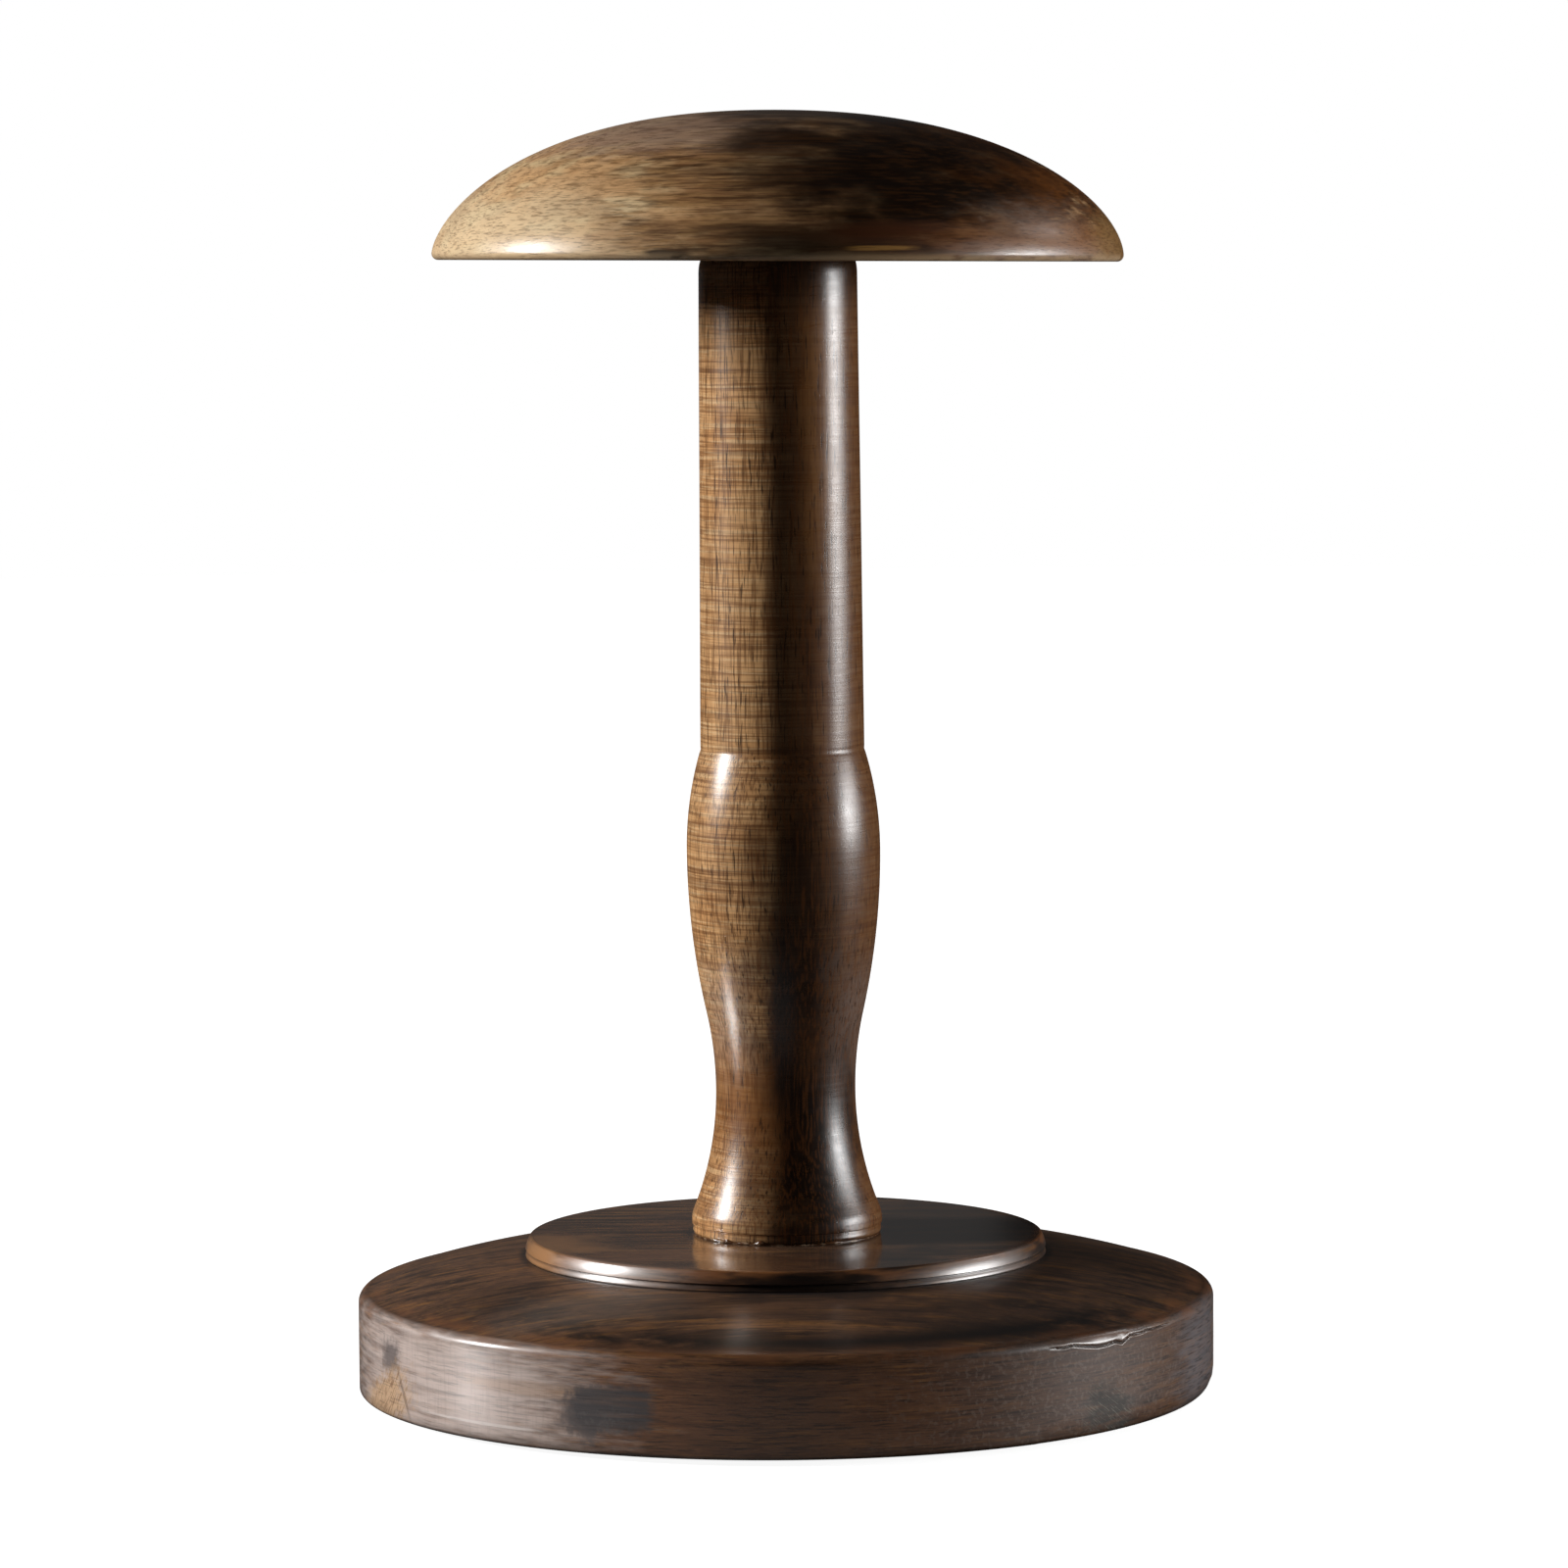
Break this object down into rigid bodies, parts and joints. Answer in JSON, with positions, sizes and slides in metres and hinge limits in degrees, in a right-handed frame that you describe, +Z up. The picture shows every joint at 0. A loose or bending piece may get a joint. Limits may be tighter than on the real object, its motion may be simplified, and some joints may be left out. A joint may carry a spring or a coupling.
{
  "type": "hat stand",
  "caption": "Turned wooden milliner's hat stand: a domed head block on a baluster post, with a stepped disc and a heavy round base, to show a hat on a counter.",
  "frame": {"origin": "centre of the underside, on the surface the stand rests on", "axes": "+Z up along the turning axis; the pictured side faces -Y, with +X to its right"},
  "size_m": [0.2, 0.2, 0.2984],
  "materials": {
    "head_wood": "stained and lacquered, satin, worn",
    "post_wood": "stained and lacquered, semi-gloss",
    "disc_wood": "dark stained and lacquered, satin",
    "base_wood": "dark stained and lacquered, satin, worn",
    "steel": "plain bright steel",
    "felt": "thin pressed felt"
  },
  "bodies": {
    "root": {"head_block": "head_wood", "post": "post_wood", "step_disc": "disc_wood", "base_disc": "base_wood", "base_screw": "steel", "base_washer": "steel", "base_felt": "felt"}
  },
  "joints": []
}
